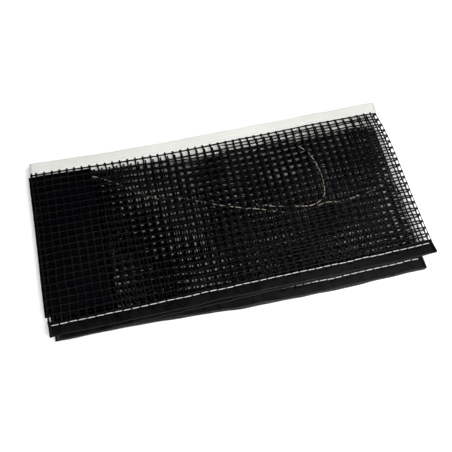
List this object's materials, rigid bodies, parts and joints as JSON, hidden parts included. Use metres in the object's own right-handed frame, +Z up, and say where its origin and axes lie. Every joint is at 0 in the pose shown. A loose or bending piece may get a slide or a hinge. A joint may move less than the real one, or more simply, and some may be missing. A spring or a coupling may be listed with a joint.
{
  "type": "table tennis net",
  "caption": "Replacement table-tennis net folded flat for storage: black knitted mesh with a white top tape, a black bottom tape, post sleeves and a tension cord.",
  "frame": {"origin": "centre of the folded bundle's footprint, on the surface that it rests on", "axes": "+X along the folded bundle, +Y from the black bottom tape to the white top tape, +Z up through the stack"},
  "size_m": [0.3196, 0.1631, 0.0098],
  "materials": {
    "netting": "black knitted nylon netting, slightly glossy",
    "white_tape": "white soft vinyl tape with a faint grain",
    "black_tape": "black soft vinyl tape with a satin sheen",
    "cord": "cream twisted cotton cord",
    "thread": "white polyester sewing thread",
    "sleeve": "black plain-weave nylon",
    "sleeve_thread": "black polyester sewing thread"
  },
  "bodies": {
    "panel_1": {"netting_1": "netting", "top_tape_1": "white_tape", "bottom_tape_1": "black_tape", "tension_cord_1": "cord", "top_seam_1": "thread", "bottom_seam_1": "thread", "crease_thread_1": "netting", "end_sleeve_left": "sleeve", "sleeve_seam_left": "sleeve_thread", "cord_end_left": "cord"},
    "panel_2": {"netting_2": "netting", "top_tape_2": "white_tape", "bottom_tape_2": "black_tape", "tension_cord_2": "cord", "top_seam_2": "thread", "bottom_seam_2": "thread", "crease_thread_2": "netting"},
    "panel_3": {"netting_3": "netting", "top_tape_3": "white_tape", "bottom_tape_3": "black_tape", "tension_cord_3": "cord", "top_seam_3": "thread", "bottom_seam_3": "thread", "crease_thread_3": "netting"},
    "panel_4": {"netting_4": "netting", "top_tape_4": "white_tape", "bottom_tape_4": "black_tape", "tension_cord_4": "cord", "top_seam_4": "thread", "bottom_seam_4": "thread", "crease_thread_4": "netting"},
    "panel_5": {"netting_5": "netting", "top_tape_5": "white_tape", "bottom_tape_5": "black_tape", "tension_cord_5": "cord", "top_seam_5": "thread", "bottom_seam_5": "thread", "crease_thread_5": "netting"},
    "panel_6": {"netting_6": "netting", "top_tape_6": "white_tape", "bottom_tape_6": "black_tape", "tension_cord_6": "cord", "top_seam_6": "thread", "bottom_seam_6": "thread", "end_sleeve_right": "sleeve", "sleeve_seam_right": "sleeve_thread", "cord_end_right": "cord"}
  },
  "joints": [
    {"name": "fold_1", "type": "hinge", "parent": "panel_1", "child": "panel_2", "pos_m": [0.14964, -0.00536, 0.00172], "axis": [0.0262, 0.9997, 0], "range_deg": [0, 179.5]},
    {"name": "fold_2", "type": "hinge", "parent": "panel_2", "child": "panel_3", "pos_m": [-0.14976, 0.00248, 0.00354], "axis": [-0.0262, -0.9997, 0], "range_deg": [0, 179.5]},
    {"name": "fold_3", "type": "hinge", "parent": "panel_3", "child": "panel_4", "pos_m": [0.14964, -0.00536, 0.0049], "axis": [0.0262, 0.9997, 0], "range_deg": [0, 179.5]},
    {"name": "fold_4", "type": "hinge", "parent": "panel_4", "child": "panel_5", "pos_m": [-0.15076, 0.00251, 0.00624], "axis": [-0.0087, -1, 0], "range_deg": [0, 179.5]},
    {"name": "fold_5", "type": "hinge", "parent": "panel_5", "child": "panel_6", "pos_m": [0.15923, 0.00522, 0.00807], "axis": [-0.0044, 1, 0], "range_deg": [0, 179.5]}
  ],
  "couplings": [
    {"joint": "fold_2", "follows": "fold_1", "ratio": 1},
    {"joint": "fold_4", "follows": "fold_3", "ratio": 1}
  ]
}
